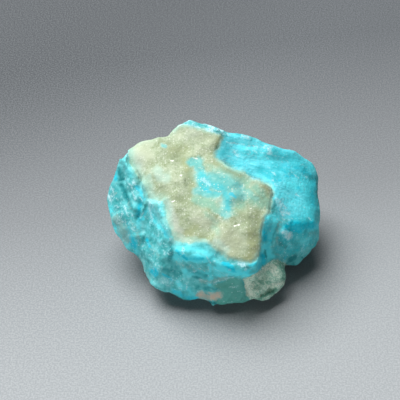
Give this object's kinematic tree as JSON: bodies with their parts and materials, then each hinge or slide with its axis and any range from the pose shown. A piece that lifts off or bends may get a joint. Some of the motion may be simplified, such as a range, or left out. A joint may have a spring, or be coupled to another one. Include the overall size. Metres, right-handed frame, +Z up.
{
  "type": "raw turquoise nugget",
  "caption": "Rough blocky nugget of raw turquoise with a raised crust of sandy matrix, resting on a small flat.",
  "frame": {"origin": "middle of the bounding box's underside, on the resting flat's plane", "axes": "+X to the stone's right seen from the front, along its longest extent; +Y to its back; +Z up, along its shortest extent"},
  "size_m": [0.0456, 0.0348, 0.0272],
  "materials": {
    "raw_turquoise": "waxy matte"
  },
  "bodies": {
    "root": {"turquoise_nugget": "raw_turquoise"}
  },
  "joints": []
}
